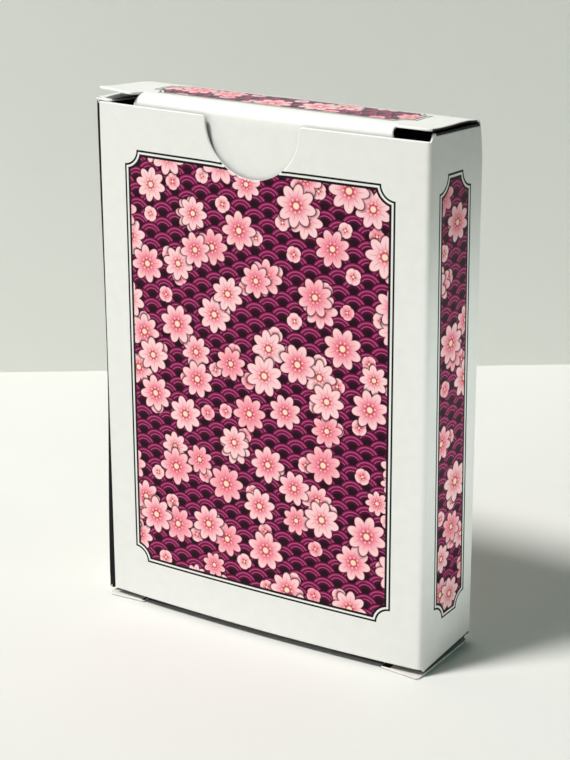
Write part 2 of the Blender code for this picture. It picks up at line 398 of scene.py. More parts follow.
def flower_layer(tree, flat, ground, cell, lattice, largest, petals):
    """Scatter round-petalled flowers over a ground, one to a cell, each turned and tinted by chance."""
    place = tree.nodes.new("ShaderNodeMapping")
    turn, shift_u, shift_v = lattice
    place.inputs["Rotation"].default_value = (0, 0, turn)
    place.inputs["Location"].default_value = (shift_u, shift_v, 0)
    tree.links.new(flat, place.inputs["Vector"])
    spots = {}
    for feature in ("F1", "N_SPHERE_RADIUS"):
        node = tree.nodes.new("ShaderNodeTexVoronoi")
        node.voronoi_dimensions = "2D"
        node.feature = feature
        node.inputs["Scale"].default_value = 1 / cell
        node.inputs["Randomness"].default_value = FLOWER_SCATTER
        tree.links.new(place.outputs["Vector"], node.inputs["Vector"])
        spots[feature] = node
    here = parts_of(tree, place.outputs["Vector"])
    spot = parts_of(tree, spots["F1"].outputs["Position"])
    chance = tree.nodes.new("ShaderNodeSeparateColor")
    tree.links.new(spots["F1"].outputs["Color"], chance.inputs["Color"])
    tint, spin, growth = [Field(tree, socket) for socket in chance.outputs]
    across, along = here[0] - spot[0], here[1] - spot[1]
    room = Field(tree, spots["N_SPHERE_RADIUS"].outputs["Radius"]) * cell
    size = room.least(largest) * (growth * 0.14 + 0.86)
    angle = along.math("ARCTAN2", across) + spin * (2 * math.pi)
    share = (angle * (petals / (2 * math.pi))).math("FRACT") - 0.5
    bearing = share * (2 * math.pi / petals)
    reach = length(across, along) / size
    out = reach * bearing.math("COSINE")
    aside = reach * bearing.math("SINE")
    breadth = math.tan(math.pi / petals) * PETAL_BREADTH
    petal = length((out - PETAL_MIDDLE) / PETAL_REACH, aside / breadth)
    heart = reach / HEART_RADIUS
    shape = petal.least(heart)

    shadow = shape.ramp(1.55, 1.0) * 0.75
    colour = mix(tree, shadow, ground, GROUND_DEEP)
    colour = mix(tree, shape.ramp(1.16, 1.10), colour, PETAL_LINE)
    blush = mix(tree, out.ramp(0.15, 0.62), PETAL_DEEP, PETAL_MID)
    face = mix(tree, (out + tint * 0.5).ramp(0.55, 1.15), blush, PETAL_PALE)
    vein = abs(aside).ramp(0.035, 0.012) * out.ramp(0.85, 0.55) * 0.55
    face = mix(tree, vein, face, PETAL_DEEP)
    face = mix(tree, petal.ramp(0.86, 1.0) * 0.45, face, PETAL_DEEP)
    stamen = abs(reach - STAMEN_RADIUS).ramp(0.06, 0.03) * abs(share).ramp(0.16, 0.08)
    face = mix(tree, stamen, face, CENTRE_PALE)
    face = mix(tree, heart.ramp(1.05, 0.95), face, CENTRE_DEEP)
    face = mix(tree, heart.ramp(0.86, 0.70), face, CENTRE_PALE)
    return mix(tree, shape.ramp(1.03, 0.99), colour, face)


def print_art(tree, flat, u, v):
    """The printed design: layers of flowers over a ground of scales."""
    colour = scale_ground(tree, u, v)
    for cell, lattice, largest, petals in FLOWER_LAYERS:
        colour = flower_layer(tree, flat, colour, cell, lattice, largest, petals)
    return colour


def frame_distance(u, v, frames):
    """Distance out from the nearest printed frame, negative inside, with a round bite at each corner."""
    nearest = None
    for centre_u, centre_v, half_u, half_v, lean in frames:
        slant = (v - centre_v) * lean if lean else 0.0
        across = abs(u - centre_u - slant) - half_u
        along = abs(v - centre_v) - half_v
        edge = across.most(along).most(-length(across, along) + FRAME_NOTCH)
        nearest = edge if nearest is None else nearest.least(edge)
    return nearest


def board_colour(tree, vector):
    mottle = noise(tree, vector, 420.0, 4.0).ramp(0.30, 0.75)
    return mix(tree, mottle, BOARD_WHITE, BOARD_SHADE)


def printed_material(name, frames, gloss, dark_from=None, dark=None):
    """Coated white board with framed panels of print, and a dark colour past a flat distance u if given."""
    material, tree, shader = new_material(name, gloss)
    flat, u, v = flat_position(tree)
    board = board_colour(tree, flat)
    edge = frame_distance(u, v, frames)
    gap_edge = -OUTER_LINE - LINE_GAP
    colour = mix(tree, edge.past(gap_edge - INNER_LINE), print_art(tree, flat, u, v), INK_BLACK)
    colour = mix(tree, edge.past(gap_edge), colour, board)
    colour = mix(tree, edge.past(-OUTER_LINE), colour, INK_BLACK)
    colour = mix(tree, edge.past(0.0), colour, board)
    if dark_from is not None:
        colour = mix(tree, u.past(dark_from), colour, dark_ink(tree, flat, dark))
    grain = noise(tree, flat, GRAIN_SCALE, 3.0)
    roughness = noise(tree, flat, SHEEN_SCALE, 3.0) * 0.12 + 0.36
    finish_surface(tree, shader, colour, roughness, grain, GRAIN_DEPTH)
    return material


def dark_ink(tree, vector, ink):
    """Dark ink that shows plum where it lies thin."""
    thin = noise(tree, vector, 320.0, 4.0).ramp(0.52, 0.78)
    return mix(tree, thin * 0.5, ink, DARK_PLUM)


def dark_material(name, dark_from):
    """Board printed dark past a flat distance u from the crease, worn along the fold."""
    material, tree, shader = new_material(name, DARK_GLOSS)
    flat, u, _ = flat_position(tree)
    ink = dark_ink(tree, flat, DARK_PRINT)
    worn = noise(tree, flat, FIBRE_SCALE, 3.0).ramp(0.60, 0.72) * abs(u).ramp(DARK_WRAP, 0.2 * DARK_WRAP)
    colour = mix(tree, worn * 0.6, ink, DARK_WORN)
    colour = mix(tree, u.past(dark_from), board_colour(tree, flat), colour)
    grain = noise(tree, flat, GRAIN_SCALE, 3.0)
    roughness = noise(tree, flat, SHEEN_SCALE, 3.0) * 0.12 + 0.38
    finish_surface(tree, shader, colour, roughness, grain, GRAIN_DEPTH)
    return material


def inner_material(name, bare_from, painted_shade_half=None):
    """Inner side of the board, painted dark over soft fibres as painted shade for the case's inside, and bare past
    a distance u or a half width.
    """
    material, tree, shader = new_material(name, INNER_GLOSS)
    flat, u, v = flat_position(tree)
    fibres = noise(tree, flat, FIBRE_SCALE, 5.0)
    # painted shade: the dark stands in for the shade inside the case
    ink = mix(tree, fibres.ramp(0.40, 0.66), INNER_PAINTED_SHADE, INNER_PAINTED_SHADE_FIBRE)
    bare = mix(tree, fibres.ramp(0.40, 0.66), INNER_BOARD, INNER_SHADE)
    share = u.past(bare_from)
    if painted_shade_half is not None:
        share = share.most(abs(v).past(painted_shade_half))
    colour = mix(tree, share, ink, bare)
    finish_surface(tree, shader, colour, fibres * 0.1 + 0.75, fibres, FIBRE_DEPTH)
    return material


def cut_material(name, painted_shade_span=None):
    """Cut edge of the board, with its pulp, and painted dark up to a distance u and past a half width if given, as
    painted shade.
    """
    material, tree, shader = new_material(name)
    vector = tree.nodes.new("ShaderNodeTexCoord").outputs["Object"]
    pulp = noise(tree, vector, 4200.0, 4.0)
    colour = mix(tree, pulp.ramp(0.45, 0.75), CUT_WHITE, CUT_SHADE)
    if painted_shade_span is not None:
        _, u, v = flat_position(tree)
        painted_shade_to, painted_shade_half = painted_shade_span
        # painted shade: the dark edge stands in for the shade on the lid's sides
        share = abs(v).past(painted_shade_half) * (-u).past(-painted_shade_to)
        colour = mix(tree, share, colour, mix(tree, pulp.ramp(0.45, 0.75), INNER_PAINTED_SHADE, INNER_PAINTED_SHADE_FIBRE))
    finish_surface(tree, shader, colour, pulp * 0.1 + 0.8, pulp, PULP_DEPTH)
    return material


def arc(centre, radius, start, end, steps=8):
    """Points on an arc, both ends included, with angles in degrees."""
    points = []
    for step in range(steps + 1):
        angle = math.radians(start + (end - start) * step / steps)
        points.append((centre[0] + radius * math.cos(angle), centre[1] + radius * math.sin(angle)))
    return points


class Section:
    """A folded section of board, from the distance along its sharp corners to a point and its outward normal.

    Outward is to the right of the way along where side is 1. The first corner is at the distance origin.
    """

    def __init__(self, corners, radii, side, origin):
        self.points = [Vector(corner) for corner in corners]
        self.ways = [(b - a).normalized() for a, b in zip(self.points, self.points[1:])]
        self.side = side
        self.marks = [origin]
        for first, second in zip(self.points, self.points[1:]):
            self.marks.append(self.marks[-1] + (second - first).length)
        self.bends = []
        for index, radius in enumerate(radii, 1):
            turn = self.ways[index - 1].angle_signed(self.ways[index])
            tangent = radius * math.tan(abs(turn) / 2)
            self.bends.append((index, self.marks[index], radius, -turn, tangent))

    def outward(self, way):
        return Vector((way.y, -way.x)) * self.side

    def stations(self, bend):
        """Distances at which a bend is cut into facets."""
        mark, tangent = bend[1], bend[4]
        return [mark - tangent + 2 * tangent * step / FOLD_STEPS for step in range(FOLD_STEPS + 1)]

    def __call__(self, u):
        for index, mark, radius, turn, tangent in self.bends:
            if abs(u - mark) < tangent:
                way = self.ways[index - 1]
                normal = self.outward(way)
                centre = self.points[index] - way * tangent - normal * radius
                spin = Matrix.Rotation(turn * (u - mark + tangent) / (2 * tangent), 2)
                normal = spin @ normal
                return centre + normal * radius, normal
        run = 0
        while run < len(self.ways) - 1 and u > self.marks[run + 1]:
            run += 1
        return self.points[run] + self.ways[run] * (u - self.marks[run]), self.outward(self.ways[run])


def lines(low, high, extra=()):
    """Evenly spaced grid lines between two distances, with some more kept clear of them."""
    count = max(2, round((high - low) / GRID))
    even = [low + (high - low) * step / count for step in range(count + 1)]
    clear = [value for value in even if all(abs(value - item) > GRID_CLEAR for item in extra)]
    return sorted(clear + list(extra))


def split_ring(outline, u_lines, v_lines):
    """An outline with a point added wherever it crosses a grid line."""
    ring = []
    for first, second in zip(outline, outline[1:] + outline[:1]):
        crossings = {0.0}
        for axis, marks in ((0, u_lines), (1, v_lines)):
            span = second[axis] - first[axis]
            if abs(span) > 1e-9:
                crossings.update((mark - first[axis]) / span for mark in marks)
        reach = math.dist(first, second)
        kept = []
        for share in sorted(crossings):
            if 0 <= share < 1 and (not kept or (share - kept[-1]) * reach > SHORTEST_SIDE):
                kept.append(share)
        if len(kept) > 1 and (1 - kept[-1]) * reach < SHORTEST_SIDE:
            kept.pop()
        for share in kept:
            ring.append(tuple(a + (b - a) * share for a, b in zip(first, second)))
    return ring


def inside_points(ring, u_lines, v_lines):
    """Grid points inside an outline and clear of its edge."""
    points = []
    for v in v_lines:
        for u in u_lines:
            within = False
            nearest = 1.0
            for (au, av), (bu, bv) in zip(ring, ring[1:] + ring[:1]):
                if (av > v) != (bv > v) and u < (bu - au) * (v - av) / (bv - av) + au:
                    within = not within
                du, dv = bu - au, bv - av
                share = max(0.0, min(1.0, ((u - au) * du + (v - av) * dv) / (du * du + dv * dv)))
                nearest = min(nearest, math.hypot(u - au - du * share, v - av - dv * share))
            if within and nearest > EDGE_CLEAR:
                points.append((u, v))
    return points


def add_sheet(name, outline, place, u_lines, v_lines, materials):
    """Fold a flat outline into a closed sheet of board with a printed face, an inner face and a cut rim."""
    ring = split_ring(outline, u_lines, v_lines)
    flat = ring + inside_points(ring, u_lines, v_lines)
    flat, _, faces, _, _, _ = delaunay_2d_cdt(
        [Vector(point) / MM for point in flat], [], [list(range(len(ring)))], 1, 1e-5)
    flat = [point * MM for point in flat]
    spots = [place(point.x, point.y) for point in flat]
    sides = {(a, b) for face in faces for a, b in zip(face, face[1:] + face[:1])}
    rim = sorted(pair for pair in sides if (pair[1], pair[0]) not in sides)
    ways = {}
    for first, second in rim:
        way = (flat[second] - flat[first]).normalized()
        for index in (first, second):
            ways[index] = ways.get(index, Vector((0, 0))) + Vector((way.y, -way.x))

    def moved(index, distance):
        """The place of a rim point after a move out of the sheet, along it."""
        aside = flat[index] + ways[index].normalized() * distance
        return place(aside.x, aside.y)[0]

    shape = bmesh.new()
    flat_map = shape.loops.layers.uv.new("flat")
    bake_map = shape.loops.layers.uv.new("OFBake")
    outer = [shape.verts.new(moved(index, -EDGE_EASE) if index in ways else point)
             for index, (point, normal) in enumerate(spots)]
    inner = [shape.verts.new(point - normal * BOARD) for point, normal in spots]
    low_u, high_u = min(p.x for p in flat), max(p.x for p in flat)
    low_v, high_v = min(p.y for p in flat), max(p.y for p in flat)
    zoom = min(BAKE_WIDTH / (high_u - low_u), BAKE_FACE_HEIGHT / (high_v - low_v))

    def add_face(verts, indices, level, slot):
        face = shape.faces.new(verts)
        face.material_index = slot
        face.smooth = True
        for loop, index in zip(face.loops, indices):
            point = flat[index]
            loop[flat_map].uv = point
            loop[bake_map].uv = ((point.x - low_u) * zoom + BAKE_MARGIN, (point.y - low_v) * zoom + level)
        return face

    for face in faces:
        add_face([outer[i] for i in face], face, BAKE_MARGIN, 0)
        add_face([inner[i] for i in reversed(face)], list(reversed(face)), BAKE_INNER_LEVEL, 1)
    layers = {}
    for index in ways:
        bulge, normal = moved(index, RIM_BULGE), spots[index][1]
        swell = [shape.verts.new(bulge - normal * BOARD * share) for share in RIM_LEVELS]
        layers[index] = [outer[index], *swell, inner[index]]
    for count, (first, second) in enumerate(rim):
        for level in range(len(RIM_LEVELS) + 1):
            corners = (layers[second][level], layers[first][level], layers[first][level + 1],
                       layers[second][level + 1])
            face = add_face(corners, (second, first, first, second), BAKE_MARGIN, 2 if level else 0)
            for loop, side in zip(face.loops, (1, 0, 0, 1)):
                across = BAKE_MARGIN + BAKE_WIDTH * (count + side) / len(rim)
                loop[bake_map].uv = (across, BAKE_RIM_LEVEL + BAKE_RIM_STEP * level)
    for first, second in rim:
        for layer in (outer, inner):
            shape.edges.get((layer[first], layer[second])).smooth = False
    bmesh.ops.recalc_face_normals(shape, faces=shape.faces)
    mesh = bpy.data.meshes.new(name)
    shape.to_mesh(mesh)
    shape.free()
    piece = bpy.data.objects.new(name, mesh)
    bpy.context.scene.collection.objects.link(piece)
    for material in materials:
        mesh.materials.append(material)
    return piece


# Flat distances of the walls: u is x on the front panel and runs on round the case
RIGHT_U = HALF_WIDTH
BACK_U = RIGHT_U + DEPTH
LEFT_U = BACK_U + 2 * HALF_WIDTH
SEAM_U = LEFT_U + BACK_Y - GLUE_LOW.y
GLUE_U = SEAM_U + GLUE_HIGH.x + HALF_WIDTH


def smooth(share):
    share = max(0.0, min(1.0, share))
    return share * share * (3 - 2 * share)


def seam_splay(v):
    """How far the left wall's front corner stands out, at a height."""
    middle = 0.5 * (FRONT_LOW.z + SIDE_TOP)
    reach = middle - FRONT_LOW.z
    if v > middle:
        return SEAM_SPLAY_MIDDLE + (SEAM_SPLAY_TOP - SEAM_SPLAY_MIDDLE) * smooth((v - middle) / reach)
    return SEAM_SPLAY_MIDDLE + (SEAM_SPLAY_BOTTOM - SEAM_SPLAY_MIDDLE) * smooth((middle - v) / reach)


def side_splay(v):
    """How far the right wall's back corner stands out, at a height."""
    return SIDE_SPLAY_TOP + (SIDE_SPLAY - SIDE_SPLAY_TOP) * smooth((SIDE_TOP - v) / SIDE_SPLAY_FADE)


def wall_outline():
    """Flat outline of the four walls and the glue flap, round from the front panel's lower left corner."""
    front_low = FRONT_LOW.z
    near, far = FLAP_LOW.y - FRONT_Y, FLAP_HIGH.y - FRONT_Y
    low_flap, high_flap = SIDE_BOTTOM + DARK_WRAP, SIDE_TOP - DARK_WRAP
    low_hinge, high_hinge = CREASE_REACH, JOINTS["lid_hinge"].z - CREASE_REACH
    corner = WALL_FOLD
    taper = (GLUE_HIGH.x - GLUE_LOW.x) * GLUE_TAPER
    lower = [(-HALF_WIDTH + SEAM_SETBACK, front_low), (RIGHT_U, front_low), (RIGHT_U + near, low_flap),
             (RIGHT_U + far, low_flap), (BACK_U, low_flap),
             (BACK_U + corner, low_hinge), (LEFT_U - corner, low_hinge), (LEFT_U, SIDE_BOTTOM),
             (LEFT_U + DEPTH - far, SIDE_BOTTOM), (LEFT_U + DEPTH - far, low_flap),
             (LEFT_U + DEPTH - near, low_flap), (LEFT_U + DEPTH - near, SIDE_BOTTOM),
             (SEAM_U, GLUE_LOW.z), (GLUE_U, GLUE_LOW.z + taper)]
    upper = [(GLUE_U, GLUE_HIGH.z - taper), (SEAM_U, GLUE_HIGH.z), (LEFT_U + DEPTH - near, SIDE_TOP),
             (LEFT_U + DEPTH - near, high_flap), (LEFT_U + DEPTH - far, high_flap),
             (LEFT_U + DEPTH - far, SIDE_TOP), (LEFT_U, SIDE_TOP), (LEFT_U - corner, high_hinge),
             (BACK_U + corner, high_hinge), (BACK_U, SIDE_TOP), (RIGHT_U + far, SIDE_TOP),
             (RIGHT_U + far, high_flap), (RIGHT_U + near, high_flap), (RIGHT_U + near, SIDE_TOP),
             (RIGHT_U, SIDE_TOP)]
    spread = NOTCH_RADIUS + NOTCH_SHOULDER
    level = SIDE_TOP - NOTCH_SHOULDER
    notch = arc((NOTCH_SHIFT + spread, level), NOTCH_SHOULDER, 90, 180, 6)
    notch += arc((NOTCH_SHIFT, level), NOTCH_RADIUS, 0, -180, 48)[1:-1]
    notch += arc((NOTCH_SHIFT - spread, level), NOTCH_SHOULDER, 0, 90, 6)
    return lower + upper + notch + [(-HALF_WIDTH + SEAM_SETBACK, SIDE_TOP)]


def front_bulge(x, v):
    """How far the front panel swells out over the tongues and the deck behind it."""
    across = max(0.0, 1 - (x / HALF_WIDTH) ** 2)
    along = 1 + FOOT_BULGE_GAIN * smooth((FOOT_BULGE_HEIGHT - v) / FOOT_BULGE_HEIGHT)
    return FRONT_BULGE * across * along


def crease_rise(depth, ends):
    """How far a dust flap's crease stands above its level at a depth, from its front end to its back end."""
    return ends[0] + (ends[1] - ends[0]) * depth / DEPTH


def side_rise(u, v):
    """How far a point of a side wall moves up with the crease that it nears."""
    depth = u - RIGHT_U if u < 0.5 * (BACK_U + LEFT_U) else LEFT_U + DEPTH - u
    if not 0 < depth < DEPTH:
        return 0.0
    ends = smooth(depth / WALL_FOLD) * smooth((DEPTH - depth) / (0.5 * WALL_FOLD))
    top_rise = TOP_RIGHT_RISE if u < LEFT_U else TOP_LEFT_RISE
    top = crease_rise(depth, top_rise) * smooth((v - SIDE_TOP + CREASE_FADE) / CREASE_FADE)
    low = crease_rise(depth, BOTTOM_RISE) * smooth((SIDE_BOTTOM + CREASE_FADE - v) / CREASE_FADE)
    return ends * (top + low)


def add_walls(inner, cut):
    corners = [(-HALF_WIDTH, FRONT_Y), (HALF_WIDTH, FRONT_Y), (HALF_WIDTH, BACK_Y), (-HALF_WIDTH, BACK_Y),
               (-HALF_WIDTH, GLUE_LOW.y), (GLUE_HIGH.x, GLUE_LOW.y)]
    section = Section(corners, [WALL_FOLD, WALL_FOLD, LEFT_BACK_FOLD, SEAM_FOLD], 1, -HALF_WIDTH)

    def place(u, v):
        point, normal = section(u)
        point.x -= seam_splay(v) * max(0.0, min(1.0, (u - LEFT_U) / (SEAM_U - LEFT_U)))
        share = min(1.0, (u - RIGHT_U) / DEPTH, (LEFT_U - u) / (LEFT_U - BACK_U))
        point.x += side_splay(v) * max(0.0, share)
        if u < RIGHT_U or u > SEAM_U:
            point.y -= front_bulge(point.x, v)
        return Vector((point.x, point.y, v + side_rise(u, v))), Vector((normal.x, normal.y, 0))

    folds = [mark for bend in section.bends for mark in section.stations(bend)]
    middle, half = 0.5 * (FRAME_LOW + FRAME_HIGH), 0.5 * (FRAME_HIGH - FRAME_LOW)
    side_middle = 0.5 * (SIDE_FRAME_LOW + SIDE_FRAME_HIGH)
    side_half = 0.5 * (SIDE_FRAME_HIGH - SIDE_FRAME_LOW)
    frames = [
        (FRAME_SHIFT, middle, FRAME_HALF_WIDTH, half, 0.0),
        (RIGHT_U + SIDE_FRAME_DEPTH, side_middle, SIDE_FRAME_HALF_WIDTH, side_half, -SIDE_FRAME_LEAN),
        (BACK_U + HALF_WIDTH, middle, FRAME_HALF_WIDTH, half, 0.0),
        (LEFT_U + DEPTH - SIDE_FRAME_DEPTH, side_middle, SIDE_FRAME_HALF_WIDTH, side_half, 0.0),
    ]
    ink = printed_material("wall_print", frames, WALL_GLOSS, SEAM_U - DARK_WRAP, DARK_PRINT)
    walls = add_sheet("case_walls", wall_outline(), place, lines(-HALF_WIDTH, GLUE_U, folds),
                      lines(SIDE_BOTTOM, JOINTS["lid_hinge"].z), (ink, inner, cut))
    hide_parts("front_panel", "back_panel", "left_side_panel", "right_side_panel", "glue_flap")
    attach(walls, "case")


def add_flap(end, side, up, direction, rise, dark_from, neck, front, spring, inner, cut):
    """One dust flap with the fold that joins it to its wall: u runs in from the crease, v is the depth."""
    level = SIDE_TOP if up > 0 else SIDE_BOTTOM
    edge = direction * HALF_WIDTH
    corners = [(edge, level - up * CREASE_REACH), (edge, level), (edge - direction * FLAP_LENGTH, level)]
    section = Section(corners, [DARK_WRAP], up * direction, -CREASE_REACH)

    def place(u, v):
        point, normal = section(u)
        free = max(smooth(v / WALL_FOLD), smooth(u / FLAP_FREE))
        lift = crease_rise(v, rise) * free * smooth((DEPTH - v) / (0.5 * WALL_FOLD))
        if up < 0:
            lift *= 1 - smooth((u - LOW_RISE_HOLD) / LOW_RISE_FADE)
        lift += spring * smooth(u / neck) * smooth((FLAP_LENGTH - u) / (FLAP_LENGTH - neck))
        shift = side_splay(level) * v / DEPTH if direction > 0 else -seam_splay(level) * (1 - v / DEPTH)
        return Vector((point.x + shift, FRONT_Y + v, point.y + lift)), Vector((normal.x, 0, normal.y))

    near, far = FLAP_LOW.y - FRONT_Y, FLAP_HIGH.y - FRONT_Y
    end_far = far - FLAP_LENGTH * FLAP_TAPER
    outline = [(-DARK_WRAP, near), (FLAP_ROOT, near)]
    outline += [(FLAP_FREE, front), (neck, front), (neck + FLAP_RELIEF_RUN, near + FLAP_RELIEF)]
    outline += arc((FLAP_LENGTH - FLAP_CORNER, near + FLAP_RELIEF + FLAP_CORNER), FLAP_CORNER, -90, 0)
    outline += arc((FLAP_LENGTH - FLAP_CORNER, end_far - FLAP_CORNER_SET_IN * FLAP_CORNER), FLAP_CORNER,
                   0, 90 - FLAP_TAPER_DEGREES)
    wrap = far if up > 0 else DEPTH - CORNER_CLEAR
    outline += [(FLAP_BACK_ROOT, far), (DARK_WRAP, wrap), (-DARK_WRAP, wrap)]
    name = f"{end}_{side}_dust_flap"
    ink = dark_material(name + "_ink", dark_from)
    marks = section.stations(section.bends[0])
    if up < 0:
        marks += [LOW_RISE_HOLD + LOW_RISE_FADE * step / LOW_RISE_STEPS for step in range(LOW_RISE_STEPS + 1)]
    flap = add_sheet(name + "_board", outline, place, lines(-DARK_WRAP, FLAP_LENGTH, marks),
                     lines(front, wrap), (ink, inner, cut))
    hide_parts(name)
    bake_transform(flap)


def add_cover(end, up, bend_radius, dark, cut):
    """A tucked end: the fold along the back wall, and the cover with its tongue.

    The distance u runs from the hinge, and v is x.
    """
    hinge = JOINTS[f"{end}_hinge"]
    bend = JOINTS[f"{end}_tongue_crease"]
    tongue_low, tongue_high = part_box(f"{end}_tongue")
    way = Vector((bend.y - hinge.y, bend.z - hinge.z)).normalized()
    slope = -way.x
    fold = Vector((hinge.y, hinge.z)) + way * (hinge.y - tongue_low.y) / slope
    tongue_end = tongue_low.z if up > 0 else tongue_high.z
    corners = [(hinge.y, hinge.z - up * 2 * CREASE_REACH), (hinge.y, hinge.z), fold,
               (tongue_low.y, tongue_end)]
    section = Section(corners, [HINGE_FOLD, bend_radius], up, -2 * CREASE_REACH)
    bend_start = section.bends[1][1] - section.bends[1][4]
    bend_end = section.bends[1][1] + section.bends[1][4]
    left_skew, right_skew = TONGUE_SKEW if up > 0 else (0.0, 0.0)
    reach = section.marks[3]
    shoulder = DEPTH / slope
    tongue_left, tongue_right = tongue_low.x, tongue_high.x
    flat_normal = section.outward(way)

    def settle(u, v):
        """Bow and curl of the lid's board. The bottom lies flat."""
        if up < 0 or u < 0:
            return 0.0
        share = min(1.0, u / bend_start)
        rise = LID_BOW * LID_BOW_PEAK * share * (1 - share) ** 2
        aside = smooth((tongue_left - v) / (COVER_HALF + tongue_left))
        rise += LID_CURL * aside * smooth(u / shoulder - LID_CURL_START)
        return rise * smooth(1 - (u - shoulder) / GRID)

    def drift(u):
        """How far the tongue's left edge has slanted aside at a distance past the start of its bend."""
        return left_skew * max(0.0, min(1.0, (u - bend_start) / (bend_end - bend_start)))

    def in_shoulder(u, v):
        clear = 0.5 * TONGUE_SLIT
        return not tongue_left + drift(u) - clear < v < tongue_right + clear

    def place(u, v):
        point, normal = section(u)
        if u > bend_start and in_shoulder(u, v):
            point = Vector((hinge.y, hinge.z)) + way * u
            normal = flat_normal
        point = point + flat_normal * settle(u, v)
        if u > bend_start and normal is not flat_normal:
            run = (u - bend_start) / (reach - bend_start) / TONGUE_BULGE_RUN
            point.x -= TONGUE_BULGE_SHARE * front_bulge(v, point.y) * smooth(run)
        return Vector((v, point.x, point.y)), Vector((0, normal.x, normal.y))

    width = COVER_HALF
    slit = TONGUE_SLIT
    chamfer = SHOULDER_CHAMFER
    left_reach, front_reach = BOTTOM_LEFT_REACH if up < 0 else (0.0, 0.0)
    right_reach = BOTTOM_RIGHT_REACH if up < 0 else 0.0
    outline = [(CREASE_REACH, -width), (shoulder + front_reach - chamfer, -width - left_reach),
               (shoulder + front_reach, chamfer - width - left_reach),
               (shoulder, tongue_left - slit + drift(shoulder)), (bend_start, tongue_left - slit),
               (bend_start, tongue_left), (bend_end, tongue_left + left_skew)]
    outline += arc((reach - TONGUE_CORNER, tongue_left + left_skew + TONGUE_CORNER), TONGUE_CORNER, -90, 0)
    outline += arc((reach - TONGUE_CORNER, tongue_right + right_skew - TONGUE_CORNER), TONGUE_CORNER, 0, 90)
    outline += [(bend_end, tongue_right + right_skew)]
    if up > 0:
        for share, inset in TONGUE_BITE:
            outline.append((bend_start + share * (bend_end - bend_start), tongue_right - inset))
    outline += [(bend_start, tongue_right), (bend_start, tongue_right + slit),
                (shoulder, tongue_right + slit), (shoulder + right_reach, width - chamfer),
                (shoulder + right_reach - chamfer, width), (CREASE_REACH, width)]
    frame_u = (DEPTH - LID_FRAME_DEPTH) / slope
    frames = [(frame_u, LID_FRAME_SHIFT * up, LID_FRAME_HALF_DEPTH, LID_FRAME_HALF_WIDTH, 0.0)]
    ink = printed_material(f"{end}_print", frames, COVER_GLOSS, bend_start if dark else None, TONGUE_CHARCOAL)
    # Painted shade on the inside: the lid's inner face up to the shoulder, and the bottom's except a band near its
    # sides
    inner = inner_material(f"{end}_inside", shoulder, None if up > 0 else width - PAINTED_SHADE_SIDE_MARGIN)
    v_lines = lines(-width, width)
    cover_cut = cut
    # The lid's side cut edges are painted dark: painted shade
    if up > 0:
        cover_cut = cut_material(f"{end}_cut_edge", (shoulder - chamfer, width - CUT_PAINTED_SHADE_MARGIN))
    cover = add_sheet(f"{end}_cover_and_tongue", outline, place,
                      lines(CREASE_REACH, reach, section.stations(section.bends[1])), v_lines,
                      (ink, inner, cover_cut))
    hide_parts(f"{end}_panel", f"{end}_tongue")
    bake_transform(cover)

    corner = HALF_WIDTH - WALL_FOLD
    strip = [(-CREASE_REACH, -corner), (0.0, -width), (CREASE_REACH, -width), (CREASE_REACH, width),
             (0.0, width), (-CREASE_REACH, corner)]
    crease = add_sheet(f"{end}_crease", strip, place,
                       lines(-CREASE_REACH, CREASE_REACH, section.stations(section.bends[0])), v_lines,
                       (ink, inner, cut))
    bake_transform(crease)


def card_material(name, tint, printed):
    """Smooth card stock with a fine pulp, and a framed print on the front of the deck if asked."""
    material, tree, shader = new_material(name)
    coordinates = tree.nodes.new("ShaderNodeTexCoord")
    vector = coordinates.outputs["Object"]
    pulp = noise(tree, vector, 1500.0, 3.0)
    shade = linear(*(channel - CARD_SHADE for channel in tint))
    colour = mix(tree, pulp.ramp(0.42, 0.72), linear(*tint), shade)
    if printed:
        x, _, z = parts_of(tree, vector)
        flat = tree.nodes.new("ShaderNodeCombineXYZ")
        for field, socket in zip((x, z), flat.inputs):
            tree.links.new(field.source, socket)
        middle = 0.5 * (DECK_LOW + DECK_HIGH)
        half = 0.5 * (DECK_HIGH - DECK_LOW)
        edge = frame_distance(x, z, [(middle.x, middle.z, half.x - CARD_BORDER, half.z - CARD_BORDER, 0.0)])
        face = mix(tree, edge.past(-INNER_LINE), print_art(tree, flat.outputs["Vector"], x, z), INK_BLACK)
        face = mix(tree, edge.past(0.0), face, colour)
        facing = parts_of(tree, coordinates.outputs["Normal"])[1]
        colour = mix(tree, facing.ramp(-0.7, -0.9), colour, face)
    linen = noise(tree, vector, 3000.0, 2.0)
    finish_surface(tree, shader, colour, pulp * 0.12 + 0.34, linen, GRAIN_DEPTH)
    return material


def finish_cards():
    """Give the cards their stock, in a few tints that tell neighbours apart."""
    stocks = [card_material(f"card_stock_{index}", tint, False) for index, tint in enumerate(CARD_TINTS)]
    back = card_material("card_stock_back", CARD_TINTS[0], True)
    for index, name in enumerate(frame["record"]["behaviour"]["bodies"]["deck"]):
        card = frame["nodes"][name]
        stock = back if name == "joker_pair" else stocks[index % len(stocks)]
        if not card.material_slots:
            card.data.materials.append(stock)
        for slot in card.material_slots:
            slot.material = stock


# Camera
CAMERA_PLACE = Vector((180.56, -284.87, 160.51)) * MM
CAMERA_AZIMUTH = math.radians(32.39)
CAMERA_ELEVATION = math.radians(18.85)
CAMERA_ROLL = math.radians(-0.24)
SENSOR = 36.0
FOCAL_PIXELS = 2047.5
PICTURE_HEIGHT = 760
CLIP_START = 10 * MM


